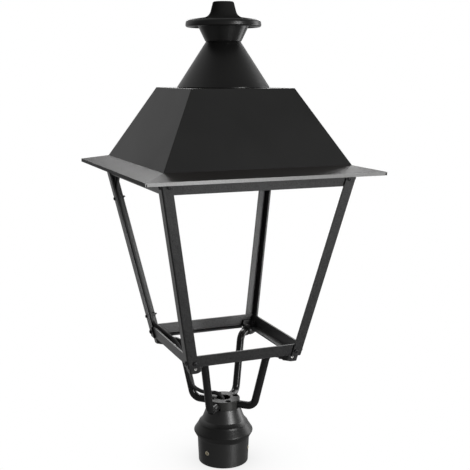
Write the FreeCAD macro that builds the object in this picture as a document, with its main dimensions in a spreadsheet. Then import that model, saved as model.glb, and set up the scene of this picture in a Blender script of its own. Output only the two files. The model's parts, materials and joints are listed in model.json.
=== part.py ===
"""Post-top lantern with an LED engine: an open four-legged cage under a square hood.

The origin is the centre of the post socket's mouth. +Z is up, the wide view of the photograph
looks along +Y, and every length is in millimetres.
"""
import FreeCAD, Part
import Sketcher
import math
import os
from types import SimpleNamespace

Vector = FreeCAD.Vector
ROOT2 = math.sqrt(2)

SIZES = {
    # post cup
    "socket_radius": 39.0,
    "socket_depth": 58.0,
    "cup_wall": 5.4,              # at the mouth
    "cup_flare": 2.0,             # how much wider the cup is under its bead
    "cup_tall": 44.5,
    "bead_out": 6.9,
    "bead_rise": 12.5,
    "cove_in": 8.3,
    "cove_rise": 12.8,
    "step_in": 1.0,
    "step_rise": 2.8,
    "neck_in": 6.0,
    "neck_rise": 6.4,
    "neck_taper": 8.6,
    "neck_tall": 22.0,
    "neck_wall": 14.0,            # between the neck's foot and the cavity above the socket
    "grub_z": 24.4,
    "grub_radius": 4.0,
    "grub_spot_radius": 5.3,
    "grub_out": 1.3,              # how far the cup is spot-faced round each grub screw
    # hub
    "hub_bore": 12.5,
    "hub_cover": 1.85,            # metal left above the arms
    "hub_screw_edge": 6.5,
    "hub_screw_radius": 2.5,
    "hub_screw_long": 15.5,
    "hub_sink_radius": 5.2,
    "hub_sink_rise": 6.0,
    # arms
    "tube_radius": 6.75,
    "tube_wall": 1.5,
    "arm_root_gap": 2.5,          # from the hub's bore to the arms' inner ends
    "arm_step": 29.0,             # from the hub's edge to the lower bend's corner
    "arm_high_in": 61.8,          # from the cage's corner to the upper bend's corner
    "arm_bend": 16.0,
    "arm_drop": 4.0,              # arms' upper ends below the cage
    # cage
    "cage_rise": 106.5,           # from the arms' lower ends to the cage
    "cage_tall": 324.0,
    "cage_low_half": 102.4,       # half the side of the cage at its foot
    "cage_high_half": 168.1,
    "leg_wide": 18.0,             # leg flange on the front and back
    "leg_narrow": 18.0,           # leg flange on the left and right
    "leg_wall": 3.0,
    "leg_round": 2.5,
    "leg_drop": 1.0,              # the legs end this far below the lower rails
    "rail_wall": 3.0,
    "low_rail_tall": 20.0,
    "ledge_wide": 12.0,           # glazing ledge inside the lower rails
    "ledge_thick": 2.5,
    "high_rail_tall": 30.4,
    "high_rail_over": 0.7,        # the upper rails end this far above the legs
    "flange_wide": 24.0,
    "corner_room": 30.0,          # what ledges and flanges leave free at each corner
    "fit_gap": 0.1,               # clearance between pieces that seat on each other
    # corner feet
    "foot_reach": 20.0,
    "foot_drop": 11.9,
    "foot_rise": 11.5,
    "foot_wall": 6.5,
    "foot_round": 8.0,            # rounding of the lug's lower ends
    "socket_wall": 1.8,
    "socket_long": 15.0,
    "socket_boss": 1.6,           # height of the clamping screw's boss over the socket
    # hood
    "cornice_reach": 31.9,        # from the legs' tops to the cornice's edge
    "cornice_wide": 40.6,
    "cornice_rise": 8.5,
    "cornice_lip": 5.5,           # depth of the turned-down lip
    "lip_notch": 3.0,             # gap left in the lip beside each corner
    "hood_tall": 121.5,
    "hood_top_half": 89.7,
    "hood_wall": 1.8,
    "hood_round": 1.2,            # rounding of the hood's four hips
    "hood_flange_wide": 20.4,
    "hood_flange_thick": 2.0,
    # spire
    "cone_margin": 12.9,          # from the hood's top edge to the cone
    "cone_rim": 2.5,
    "cone_tall": 76.0,
    "cone_high_radius": 28.8,
    "funnel_step": 1.4,
    "funnel_flare": 12.4,
    "funnel_tall": 25.5,
    "spun_wall": 2.0,
    "brim_reach": 21.0,           # brim beyond the funnel's mouth
    "brim_sink": 2.5,             # brim below the funnel's mouth
    "brim_thick": 11.4,
    "brim_round": 6.0,
    "brim_lip": 6.6,              # width of the flat rim under the brim
    "knob_foot_rise": 5.6,
    "knob_foot_out": 6.3,
    "knob_flare": 14.0,           # radius of the sweep from knob to brim
    "knob_radius": 17.2,
    "knob_tall": 24.5,
    "knob_round": 3.0,
    "rod_radius": 4.0,
    "rod_play": 0.5,              # clearance of the rod in the sheet pieces
    "rod_in_knob": 8.6,
    "rod_under": 18.0,            # rod's lower end below the hood's top
    "rod_nut_radius": 7.5,        # over the corners
    "rod_nut_tall": 6.5,
    "washer_radius": 9.0,
    "washer_tall": 1.6,
    # cage screws
    "screw_radius": 2.0,
    "screw_head_radius": 3.7,
    "screw_head_tall": 2.4,
    "screw_play": 0.2,
    "leg_screw_in": 5.5,          # from the edge of the front or back flange
    "leg_screw_side_in": 11.0,    # from the edge of the left or right flange
    "leg_screw_up": 8.0,
    "leg_screw_down": 17.7,
    "foot_bolt_long": 12.0,
    "set_screw_radius": 2.5,
    "set_screw_long": 11.0,
    "set_screw_in": 13.5,         # from the cage's corner
    "set_screw_sink": 0.8,
    # light engine
    "tray_room": 3.6,
    "tray_thick": 2.0,
    "board_half": 60.0,
    "board_thick": 1.6,
    "chip_half": 2.5,
    "chip_tall": 0.8,
    "window_room": 3.0,           # tray window round the board
    "sink_base": 6.0,
    "fin_tall": 26.0,
    "fin_thick": 2.6,
    "lens_margin": 9.5,
    "lens_thick": 2.0,
    "dome_radius": 10.5,
    "dome_tall": 5.0,
    "gasket_wide": 3.5,
    "gasket_thick": 0.9,
    "frame_wide": 10.5,
    "frame_lip": 3.0,
    "frame_screw_in": 5.2,
    "small_screw_radius": 1.5,
    "small_head_radius": 2.8,
    "small_head_tall": 1.9,
    "hood_screw_side": 70.0,
    # electrical gear
    "driver_in": 24.0,            # from the hood's inner flange to the driver's middle
    "driver_long": 150.0,
    "driver_wide": 42.0,
    "driver_tall": 31.0,
    "side_gear_in": 27.0,
    "surge_long": 60.0,
    "surge_wide": 34.0,
    "surge_tall": 26.0,
    "terminal_long": 44.0,
    "terminal_wide": 22.0,
    "terminal_tall": 17.0,
    "ear_long": 13.0,
    "ear_half": 9.0,
    "ear_thick": 2.0,
    # cable
    "cable_radius": 3.5,
    "cable_play": 0.2,
    "gland_in": 14.4,             # from the hood's foot to the gland's middle
    "gland_radius": 9.4,
    "gland_tall": 17.0,
    "gland_thread_radius": 7.9,
    "gland_nut_radius": 11.8,
    "gland_nut_tall": 4.5,
    "cable_from_side": 6.9,       # inset of the run beside the back left leg
    "cable_from_back": 11.5,
    "clip_tall": 8.0,
    "clip_wall": 1.4,
    "clip_screw_from_back": 5.8,
    "clip_nut_radius": 3.4,       # over the corners
    "clip_nut_tall": 5.0,
    "clip_screw_tail": 3.0,       # past the nut
    "clip_up": 36.0,              # lower clip above the cage's foot
    "clip_down": 74.5,            # upper clip below the cage's top
    "connector_radius": 9.0,
    "connector_tall": 28.9,
    "connector_lift": 4.0,        # above the top of the post's socket
}


class Size:
    """A number together with the sheet expression that gives it."""

    def __init__(self, number, text):
        self.number = float(number)
        self.text = text

    def __add__(self, other):
        other = as_size(other)
        return Size(self.number + other.number, f"({self.text} + {other.text})")

    def __sub__(self, other):
        other = as_size(other)
        return Size(self.number - other.number, f"({self.text} - {other.text})")

    def __mul__(self, other):
        other = as_size(other)
        return Size(self.number * other.number, f"({self.text} * {other.text})")

    def __truediv__(self, other):
        other = as_size(other)
        return Size(self.number / other.number, f"({self.text} / {other.text})")

    def __rsub__(self, other):
        return as_size(other) - self

    def __neg__(self):
        return self * -1

    __radd__ = __add__
    __rmul__ = __mul__


def as_size(value):
    return value if isinstance(value, Size) else Size(value, f"({float(value)!r})")


doc = FreeCAD.newDocument("lantern")
sheet = doc.addObject("Spreadsheet::Sheet", "Sizes")
for row, (name, number) in enumerate(SIZES.items(), start=1):
    sheet.set(f"A{row}", name)
    sheet.set(f"B{row}", str(number))
    sheet.setAlias(f"B{row}", name)
doc.recompute()
s = SimpleNamespace(**{name: Size(sheet.get(name), f"Sizes.{name}") for name in SIZES})
places = doc.addObject("Spreadsheet::Sheet", "Places")


def keep(**values):
    """Puts values that follow from the sizes in the second sheet, each under its own name."""
    for name, value in values.items():
        row = len([key for key in vars(s) if key not in SIZES]) + 1
        places.set(f"A{row}", name)
        places.set(f"B{row}", "=" + value.text.replace("Places.", ""))
        places.setAlias(f"B{row}", name)
        setattr(s, name, Size(value.number, f"Places.{name}"))


# Cup, hub and arms, from the socket's mouth upward
keep(cup_low_radius=s.socket_radius + s.cup_wall)
keep(cup_high_radius=s.cup_low_radius + s.cup_flare, cup_high_z=s.cup_tall * 1.0)
keep(bead_radius=s.cup_high_radius + s.bead_out, bead_z=s.cup_high_z + s.bead_rise)
keep(cove_radius=s.bead_radius - s.cove_in, cove_z=s.bead_z + s.cove_rise)
keep(step_radius=s.cove_radius - s.step_in, step_z=s.cove_z + s.step_rise)
keep(neck_low_radius=s.step_radius - s.neck_in, neck_low_z=s.step_z + s.neck_rise)
keep(neck_high_radius=s.neck_low_radius - s.neck_taper, hub_low_z=s.neck_low_z + s.neck_tall)
keep(hub_radius=s.neck_high_radius + s.fit_gap, arm_low_z=s.hub_low_z + s.tube_radius + s.fit_gap * 2.5)
keep(hub_screw_r=s.hub_radius - s.hub_screw_edge, hub_top_z=s.arm_low_z + s.tube_radius + s.hub_cover,
     hub_sink_z=s.hub_low_z + s.hub_sink_rise)
keep(arm_root_r=s.hub_bore + s.arm_root_gap, arm_low_turn=s.hub_radius + s.arm_step,
     cage_low_z=s.arm_low_z + s.cage_rise)
keep(arm_high_turn=s.cage_low_half * ROOT2 - s.arm_high_in, arm_high_z=s.cage_low_z - s.arm_drop)

# Cage: half its side at any height, and the insets of what lies behind the legs and behind the rails
keep(cage_high_z=s.cage_low_z + s.cage_tall)
keep(lean=(s.cage_high_half - s.cage_low_half) / s.cage_tall, high_rail_top=s.cage_high_z + s.high_rail_over)
keep(high_rail_z=s.high_rail_top - s.high_rail_tall, rail_inset=s.leg_wall + s.fit_gap)
keep(room_inset=s.rail_inset + s.rail_wall + s.fit_gap, foot_low_z=s.cage_low_z - s.foot_drop,
     foot_top_z=s.cage_low_z + s.foot_rise, screw_hole_radius=s.screw_radius + s.screw_play)
keep(leg_screw_wide=s.leg_wide - s.leg_screw_in, leg_screw_narrow=s.leg_narrow - s.leg_screw_side_in,
     leg_screw_low_z=s.cage_low_z + s.leg_screw_up, leg_screw_high_z=s.high_rail_top - s.leg_screw_down)


def half_at(z):
    return s.cage_low_half + s.lean * (z - s.cage_low_z)


# The arms end just inside the set screws that come in from the front and the back
screw_side = half_at(s.arm_high_z) - s.set_screw_in - s.set_screw_radius
screw_tip = half_at(s.arm_high_z) - s.rail_inset - s.set_screw_sink - s.set_screw_long
keep(arm_end_r=(screw_side + screw_tip) / ROOT2 - 0.5)
keep(socket_inner_r=s.arm_end_r - s.socket_long)
keep(socket_screw_r=s.socket_inner_r + s.socket_long * 0.4)

# Hood and spire; the cornice's underside clears the upper rails
keep(cornice_half=s.cage_high_half + s.cornice_reach, sheet_drop=s.hood_wall * 1.03,
     cornice_slope=s.cornice_rise / s.cornice_wide)
keep(hood_foot_half=s.cornice_half - s.cornice_wide)
over_rail = s.cornice_half - (half_at(s.high_rail_top) - s.rail_inset)
keep(cornice_z=s.high_rail_top + s.fit_gap * 2.4 + s.sheet_drop - s.cornice_slope * over_rail)
keep(hood_foot_z=s.cornice_z + s.cornice_rise, hood_flange_half=s.hood_foot_half - s.hood_flange_wide,
     hood_screw_half=s.hood_foot_half - s.hood_flange_wide / 2)
keep(hood_top_z=s.hood_foot_z + s.hood_tall, cone_low_radius=s.hood_top_half - s.cone_margin)
keep(cone_high_z=s.hood_top_z + s.cone_tall, funnel_low_radius=s.cone_high_radius + s.funnel_step)
keep(funnel_high_z=s.cone_high_z + s.funnel_tall, funnel_high_radius=s.funnel_low_radius + s.funnel_flare)
keep(brim_low_z=s.funnel_high_z - s.brim_sink, brim_radius=s.funnel_high_radius + s.brim_reach)
keep(brim_top_z=s.brim_low_z + s.brim_thick, knob_foot_radius=s.knob_radius + s.knob_foot_out)
keep(knob_foot_z=s.brim_top_z + s.knob_foot_rise, rod_high_z=s.brim_top_z + s.rod_in_knob,
     rod_low_z=s.hood_top_z - s.rod_under)
keep(knob_z=s.knob_foot_z + s.knob_tall)

# Light engine, gear and gland
keep(tray_top=s.high_rail_top - s.ledge_thick - s.fit_gap)
keep(tray_low=s.tray_top - s.tray_thick)
keep(tray_half=half_at(s.tray_low) - s.room_inset - s.tray_room, tray_window=s.board_half + s.window_room,
     lens_half=s.board_half + s.lens_margin, frame_window=s.board_half + s.fit_gap * 10,
     lens_pitch=(s.board_half - s.dome_radius * 1.714) / 1.5, gear_z=s.tray_top + s.fit_gap)
keep(frame_half=s.lens_half + s.frame_wide, gasket_half=s.lens_half - s.gasket_wide,
     lens_top=s.tray_low - s.gasket_thick - s.fit_gap * 2)
keep(lens_low=s.lens_top - s.lens_thick, frame_screw_half=s.frame_half - s.frame_screw_in)
keep(frame_low=s.lens_low - s.fit_gap - s.frame_lip, small_hole_radius=s.small_screw_radius + s.screw_play)
keep(driver_y=s.hood_flange_half - s.driver_in, side_gear_x=s.hood_flange_half - s.side_gear_in,
     gland_centre=s.hood_foot_half - s.gland_in)
keep(clip_low_z=s.cage_low_z + s.clip_up, clip_high_z=s.cage_high_z - s.clip_down,
     connector_low=s.socket_depth + s.connector_lift)
keep(connector_top=s.connector_low + s.connector_tall + s.fit_gap)

parts = []


# Drawing and feature helpers

def bind(thing, path, value):
    """Ties one property of an object to the sheet."""
    thing.setExpression(path, as_size(value).text)


def new_body(label, turn=0.0):
    """A body for one sub-part, turned about the lantern's axis."""
    body = doc.addObject("PartDesign::Body", label)
    body.Label = label
    body.Placement = FreeCAD.Placement(Vector(), FreeCAD.Rotation(Vector(0, 0, 1), turn))
    parts.append(body)
    return body


def fix_point(sketch, shape, spot, x, y):
    """Holds one point of a sketch at a place given by sizes."""
    for kind, value in (("DistanceX", x), ("DistanceY", y)):
        value = as_size(value)
        index = sketch.addConstraint(Sketcher.Constraint(kind, -1, 1, shape, spot, value.number))
        sketch.setExpression(f"Constraints[{index}]", value.text)


def fix_radius(sketch, shape, radius):
    radius = as_size(radius)
    index = sketch.addConstraint(Sketcher.Constraint("Radius", shape, radius.number))
    sketch.setExpression(f"Constraints[{index}]", radius.text)


def add_circle(sketch, x, y, radius):
    x, y, radius = as_size(x), as_size(y), as_size(radius)
    circle = Part.Circle(Vector(x.number, y.number, 0), Vector(0, 0, 1), radius.number)
    shape = sketch.addGeometry(circle, False)
    fix_point(sketch, shape, 3, x, y)
    fix_radius(sketch, shape, radius)


def add_outline(sketch, corners, closed=True):
    """Straight runs between corners given as (x, y) or (x, y, radius), with tangent arcs."""
    corners = [[as_size(value) for value in corner] for corner in corners]
    spots = [Vector(corner[0].number, corner[1].number, 0) for corner in corners]
    count = len(corners)
    arrive, leave, arcs = list(spots), list(spots), {}
    for i, corner in enumerate(corners):
        if len(corner) < 3:
            continue
        back = (spots[i - 1] - spots[i]).normalize()
        ahead = (spots[(i + 1) % count] - spots[i]).normalize()
        opening = back.getAngle(ahead) / 2
        radius = corner[2].number
        arrive[i] = spots[i] + back * (radius / math.tan(opening))
        leave[i] = spots[i] + ahead * (radius / math.tan(opening))
        centre = spots[i] + (back + ahead).normalize() * (radius / math.sin(opening))
        left_turn = back.cross(ahead).z < 0
        first, last = (arrive[i], leave[i]) if left_turn else (leave[i], arrive[i])
        angles = [math.atan2(point.y - centre.y, point.x - centre.x) for point in (first, last)]
        circle = Part.Circle(centre, Vector(0, 0, 1), radius)
        arcs[i] = (Part.ArcOfCircle(circle, *angles), left_turn)
    runs = count if closed else count - 1
    lines = []
    for i in range(runs):
        segment = Part.LineSegment(leave[i], arrive[(i + 1) % count])
        lines.append(sketch.addGeometry(segment, False))
    for i, corner in enumerate(corners):
        if not closed and i in (0, count - 1):
            line, spot = (lines[0], 1) if i == 0 else (lines[-1], 2)
            fix_point(sketch, line, spot, corner[0], corner[1])
            continue
        before, after = lines[i - 1], lines[i]
        if i not in arcs:
            sketch.addConstraint(Sketcher.Constraint("Coincident", before, 2, after, 1))
            fix_point(sketch, after, 1, corner[0], corner[1])
            continue
        arc, left_turn = arcs[i]
        bend = sketch.addGeometry(arc, False)
        start, end = (1, 2) if left_turn else (2, 1)
        sketch.addConstraint(Sketcher.Constraint("Tangent", before, 2, bend, start))
        sketch.addConstraint(Sketcher.Constraint("Tangent", after, 1, bend, end))
        fix_radius(sketch, bend, corner[2])
        corner_point = sketch.addGeometry(Part.Point(spots[i]), True)
        fix_point(sketch, corner_point, 1, corner[0], corner[1])
        sketch.addConstraint(Sketcher.Constraint("PointOnObject", corner_point, 1, before))
        sketch.addConstraint(Sketcher.Constraint("PointOnObject", corner_point, 1, after))


def new_sketch(body, plane, lift=None):
    """An empty sketch on one of the body's own origin planes, raised along its normal."""
    sketch = body.newObject("Sketcher::SketchObject", f"{body.Name}_sketch")
    planes = {feature.Role: feature for feature in body.Origin.OriginFeatures}
    sketch.AttachmentSupport = [(planes[f"{plane}_Plane"], "")]
    sketch.MapMode = "FlatFace"
    if lift is not None:
        bind(sketch, "AttachmentOffset.Base.z", lift)
    return sketch


def outline(body, plane, *loops, lift=None, closed=True):
    sketch = new_sketch(body, plane, lift)
    for corners in loops:
        add_outline(sketch, corners, closed)
    return sketch


def circles(body, plane, *rings, lift=None):
    sketch = new_sketch(body, plane, lift)
    for x, y, radius in rings:
        add_circle(sketch, x, y, radius)
    return sketch


def extrude(kind, body, sketch, length, both_ways=False, flip=False, along=None):
    """A pad or pocket, straight or along a slanting direction."""
    feature = body.newObject(f"PartDesign::{kind}", f"{body.Name}_{kind}")
    feature.Profile = sketch
    if length is None:
        feature.Type = "ThroughAll"
    else:
        bind(feature, "Length", length)
    feature.Midplane = both_ways
    feature.Reversed = flip
    if along is not None:
        feature.UseCustomVector = True
        along = [as_size(value) for value in along]
        feature.Direction = Vector(*[value.number for value in along])
        for axis, value in zip("xyz", along):
            bind(feature, f"Direction.{axis}", value)
    return feature


def pad(body, sketch, length, **how):
    return extrude("Pad", body, sketch, length, **how)


def pocket(body, sketch, length=None, **how):
    return extrude("Pocket", body, sketch, length, **how)


def turned(body, corners, kind="Revolution"):
    """A piece turned on a lathe, from its half section as (radius, height) corners."""
    feature = body.newObject(f"PartDesign::{kind}", f"{body.Name}_{kind}")
    section = outline(body, "XZ", corners)
    feature.Profile = section
    feature.ReferenceAxis = (section, ["V_Axis"])
    feature.Angle = 360.0
    return feature


def loft(kind, body, low, high):
    feature = body.newObject(f"PartDesign::{kind}Loft", f"{body.Name}_loft")
    feature.Profile = low
    feature.Sections = [high]
    feature.Ruled = True
    return feature


def square(body, half_side, z, round_by=None):
    """A centred square at height z, with its corners rounded or sharp."""
    extra = () if round_by is None else (round_by,)
    signs = ((-1, -1), (1, -1), (1, 1), (-1, 1))
    return outline(body, "XY", [(half_side * x, half_side * y, *extra) for x, y in signs], lift=z)


def ring_of_four(body, feature):
    """Repeats one feature at quarter turns about the axis."""
    pattern = body.newObject("PartDesign::PolarPattern", f"{body.Name}_quarters")
    pattern.Originals = [feature]
    axes = {item.Role: item for item in body.Origin.OriginFeatures}
    pattern.Axis = (axes["Z_Axis"], [""])
    pattern.Angle = 360.0
    pattern.Occurrences = 4
    body.Tip = pattern
    return pattern


def loose_group(label, shapes):
    """One node for identical small pieces that stay separate solids."""
    feature = doc.addObject("Part::Feature", label)
    feature.Label = label
    feature.Shape = Part.makeCompound(shapes) if len(shapes) > 1 else shapes[0]
    parts.append(feature)
    return feature


CORNERS = {"front_left": (-1, -1), "front_right": (1, -1), "back_right": (1, 1), "back_left": (-1, 1)}
SIDES = {"front": 0.0, "right": 90.0, "back": 180.0, "left": 270.0}
DIAGONALS = {"front_right": -45.0, "back_right": 45.0, "back_left": 135.0, "front_left": -135.0}


# Spire

def finial_cap():
    body = new_body("finial_cap")
    under = s.funnel_high_z + s.fit_gap
    turned(body, [
        (0, s.knob_z), (s.knob_radius, s.knob_z, s.knob_round),
        (s.knob_foot_radius, s.knob_foot_z, s.knob_flare),
        (s.brim_radius - s.brim_lip / 5, s.brim_top_z, s.brim_round),
        (s.brim_radius, s.brim_low_z, s.brim_round * 0.6), (s.brim_radius - s.brim_lip, s.brim_low_z),
        (s.brim_radius - s.brim_lip * 1.5, under + 1.0), (s.funnel_high_radius + 2.0, under + 1.0),
        (s.funnel_high_radius + 2.0, under), (s.rod_radius + s.fit_gap, under),
        (s.rod_radius + s.fit_gap, s.rod_high_z + 1.0), (0, s.rod_high_z + 1.0)])


def vent_funnel():
    body = new_body("vent_funnel")
    low = s.cone_high_z + s.fit_gap
    inner = s.spun_wall * 1.1
    turned(body, [
        (s.rod_radius + s.rod_play, low), (s.funnel_low_radius, low, 0.8),
        (s.funnel_high_radius, s.funnel_high_z), (s.funnel_high_radius - inner, s.funnel_high_z),
        (s.funnel_low_radius - inner, low + s.spun_wall), (s.rod_radius + s.rod_play, low + s.spun_wall)])


def chimney_cone():
    body = new_body("chimney_cone")
    low = s.hood_top_z + s.fit_gap
    inner = s.spun_wall * 1.2
    turned(body, [
        (s.cone_low_radius + 0.6, low, 0.5), (s.cone_low_radius + 0.6, low + s.cone_rim - 0.8, 0.3),
        (s.cone_low_radius, low + s.cone_rim), (s.cone_high_radius, s.cone_high_z, 1.0),
        (s.rod_radius + s.rod_play, s.cone_high_z), (s.rod_radius + s.rod_play, s.cone_high_z - s.spun_wall),
        (s.cone_high_radius - inner, s.cone_high_z - s.spun_wall),
        (s.cone_low_radius - inner, low + s.cone_rim), (s.cone_low_radius - inner, low)])


def tie_rod():
    body = new_body("tie_rod")
    pad(body, circles(body, "XY", (0, 0, s.rod_radius), lift=s.rod_low_z), s.rod_high_z - s.rod_low_z)


def hexagon(radius, tall):
    """A hexagonal prism over the origin, its size taken over the corners."""
    turns = [math.radians(60 * i) for i in range(7)]
    corners = [Vector(radius * math.cos(turn), radius * math.sin(turn), 0) for turn in turns]
    return Part.Face(Part.makePolygon(corners)).extrude(Vector(0, 0, tall))


def rod_nuts():
    """A washer under the hood's top and a hexagon nut below it."""
    top = (s.hood_top_z - s.hood_wall - s.fit_gap).number
    washer_tall, nut_tall = s.washer_tall.number, s.rod_nut_tall.number
    washer = Part.makeCylinder(s.washer_radius.number, washer_tall, Vector(0, 0, top - washer_tall))
    nut = hexagon(s.rod_nut_radius.number, nut_tall)
    nut.translate(Vector(0, 0, top - washer_tall - s.fit_gap.number - nut_tall))
    hole = Part.makeCylinder((s.rod_radius + s.fit_gap).number, top, Vector())
    loose_group("rod_nuts", [washer.cut(hole), nut.cut(hole)])


# Hood: one pressed and welded shell with its sloping cornice and turned-down lip

def roof_hood():
    body = new_body("roof_hood")
    wall = s.hood_wall
    taper = (s.hood_foot_half - s.hood_top_half) / s.hood_tall
    inner_foot = s.hood_foot_half - wall * 1.153
    loft("Additive", body, square(body, s.hood_foot_half, s.hood_foot_z, s.hood_round),
         square(body, s.hood_top_half, s.hood_top_z, s.hood_round))
    loft("Additive", body, square(body, s.cornice_half, s.cornice_z),
         square(body, s.hood_foot_half, s.hood_foot_z))
    low = s.cornice_z - s.cornice_lip
    pad(body, square(body, s.cornice_half, low), s.cornice_lip)
    inside = s.cornice_half - wall
    under_z = s.cornice_z + s.cornice_slope * wall - s.sheet_drop
    pocket(body, square(body, inside, low), under_z - low, flip=True)
    loft("Subtractive", body, square(body, inside, under_z),
         square(body, inner_foot, under_z + s.cornice_slope * (inside - inner_foot)))
    bottom = s.hood_foot_z - 6.0
    loft("Subtractive", body, square(body, inner_foot + taper * 6.0, bottom),
         square(body, s.hood_top_half - wall * 1.153 + taper * wall, s.hood_top_z - wall))
    flange_low = s.high_rail_top + s.fit_gap
    flange_out = s.hood_foot_half + 1.5
    flange = outline(body, "XY", centred_square(flange_out), centred_square(s.hood_flange_half),
                     lift=flange_low)
    pad(body, flange, s.hood_flange_thick)
    open_in = s.gland_centre - s.gland_nut_radius * 1.6
    corner_gap = [(open_in, open_in), (inner_foot, open_in), (inner_foot, inner_foot), (open_in, inner_foot)]
    for x, y in CORNERS.values():
        cut = outline(body, "XY", [(u * x, v * y) for u, v in corner_gap], lift=flange_low - 1.0)
        pocket(body, cut, s.hood_flange_thick + 1.6, flip=True)
    near, far, deep, beyond = (s.cornice_half - s.lip_notch, s.cornice_half - wall / 2,
                               s.cornice_half - wall * 1.6, s.cornice_half + 1.0)
    for x, y in CORNERS.values():
        slit = [(near, deep), (far, deep), (far, beyond), (near, beyond)]
        cut = outline(body, "XY", [(u * x, v * y) for u, v in slit], lift=low - 1.0)
        pocket(body, cut, s.cornice_lip - 0.8, flip=True)
    rod_hole = circles(body, "XY", (0, 0, s.rod_radius + s.rod_play), lift=s.hood_top_z - 10.0)
    pocket(body, rod_hole, 20.0, flip=True)
    screw_holes = [(x, y, s.screw_hole_radius + 0.4) for x, y in hood_screw_places()]
    pocket(body, circles(body, "XY", *screw_holes, lift=flange_low - 1.0), s.hood_flange_thick + 1.5,
           flip=True)


def centred_square(half_side):
    return [(-half_side, -half_side), (half_side, -half_side), (half_side, half_side),
            (-half_side, half_side)]


def hood_screw_places():
    near, side = s.hood_screw_half, s.hood_screw_side
    return [(side, near), (-side, near), (side, -near), (-side, -near),
            (near, side), (near, -side), (-near, side), (-near, -side)]


# Cage: four leaning angle legs, lower rails with a glazing ledge, upper rails with a flange

def leg(place, signs):
    body = new_body(f"leg_{place}")
    x, y = signs
    foot_z = s.cage_low_z - s.leg_drop
    h = half_at(foot_z)
    section = [(h, h, s.leg_round), (h - s.leg_wide, h), (h - s.leg_wide, h - s.leg_wall),
               (h - s.leg_wall, h - s.leg_wall), (h - s.leg_wall, h - s.leg_narrow),
               (h, h - s.leg_narrow)]
    profile = outline(body, "XY", [(u * x, v * y, *rest) for u, v, *rest in section], lift=foot_z)
    pad(body, profile, s.cage_high_z - foot_z, along=(s.lean * x, s.lean * y, 1))
    wide, narrow = s.leg_screw_wide, s.leg_screw_narrow
    heights = (s.leg_screw_low_z, s.leg_screw_high_z)
    drill_face(body, "XZ", [((half_at(z) - wide) * x, z) for z in heights], y)
    drill_face(body, "YZ", [((half_at(z) - narrow) * y, z) for z in heights], x)
    if place == "back_left":
        spots = [((half_at(z) - s.clip_screw_from_back) * y, z) for z in (s.clip_low_z, s.clip_high_z)]
        drill_face(body, "YZ", spots, x, s.small_hole_radius)


def drill_face(body, plane, spots, side, radius=None):
    """Screw holes square to a leaning face; side is the sign of that face's axis."""
    radius = s.screw_hole_radius if radius is None else radius
    reach = half_at(s.cage_low_z) - 30.0
    start = reach * (-side if plane == "XZ" else side)
    rings = [(across, z + s.lean * (half_at(z) - reach), radius) for across, z in spots]
    sketch = circles(body, plane, *rings, lift=start)
    out = (0, side, -s.lean) if plane == "XZ" else (side, 0, -s.lean)
    return pocket(body, sketch, half_at(s.cage_high_z) - reach, along=out)


def lower_rail(side, turn):
    body = new_body(f"lower_rail_{side}", turn)
    low, top = s.cage_low_z, s.cage_low_z + s.low_rail_tall
    rail_wall(body, side, low, top)
    inner, over = half_at(low) - s.rail_inset - s.rail_wall, low + s.ledge_thick
    ledge = [(-(inner + s.rail_wall / 2), low), (-(inner - s.ledge_wide), low),
             (-(inner - s.ledge_wide), over), (-(inner + s.rail_wall / 2), over)]
    pad(body, outline(body, "YZ", ledge), (half_at(low) - s.corner_room) * 2, both_ways=True)
    rail_holes(body, side, s.leg_screw_low_z)


def upper_rail(side, turn):
    body = new_body(f"upper_rail_{side}", turn)
    low, top = s.high_rail_z, s.high_rail_top
    rail_wall(body, side, low, top)
    inner = half_at(top) - s.rail_inset - s.rail_wall
    under = top - s.ledge_thick
    flange = [(-(inner + s.rail_wall / 2), top), (-(inner - s.flange_wide), top),
              (-(inner - s.flange_wide), under), (-(inner + s.rail_wall / 2), under)]
    pad(body, outline(body, "YZ", flange), (half_at(top) - s.corner_room - 6.0) * 2, both_ways=True)
    places = [(side_x, -s.hood_screw_half, s.screw_hole_radius + 0.3)
              for side_x in (s.hood_screw_side, -s.hood_screw_side)]
    pocket(body, circles(body, "XY", *places, lift=under - 1.0), s.ledge_thick + 2.0, flip=True)
    rail_holes(body, side, s.leg_screw_high_z)


def rail_wall(body, side, low, top):
    """The rail's leaning wall. Side rails run through, the front and back ones end against them."""
    outer_low, outer_top = half_at(low) - s.rail_inset, half_at(top) - s.rail_inset
    wall = [(-outer_low, low), (-outer_top, top), (-(outer_top - s.rail_wall), top),
            (-(outer_low - s.rail_wall), low)]
    pad(body, outline(body, "YZ", wall), outer_top * 2 + 20.0, both_ways=True)
    inset = s.room_inset if side in ("front", "back") else s.rail_inset
    under, over = low - 5.0, top + 5.0
    beyond = half_at(over) + 30.0
    waste = [(half_at(under) - inset, under), (beyond, under), (beyond, over), (half_at(over) - inset, over)]
    mirror = [(-u, v) for u, v in waste]
    pocket(body, outline(body, "XZ", waste, mirror), half_at(over) * 4, both_ways=True)


def rail_holes(body, side, z):
    reach = s.leg_screw_wide if side in ("front", "back") else s.leg_screw_narrow
    spots = [((half_at(z) - reach) * sign, z) for sign in (-1, 1)]
    drill_face(body, "XZ", spots, -1)


# Corner feet and bent arms, drawn along +X and turned to their diagonals

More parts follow.
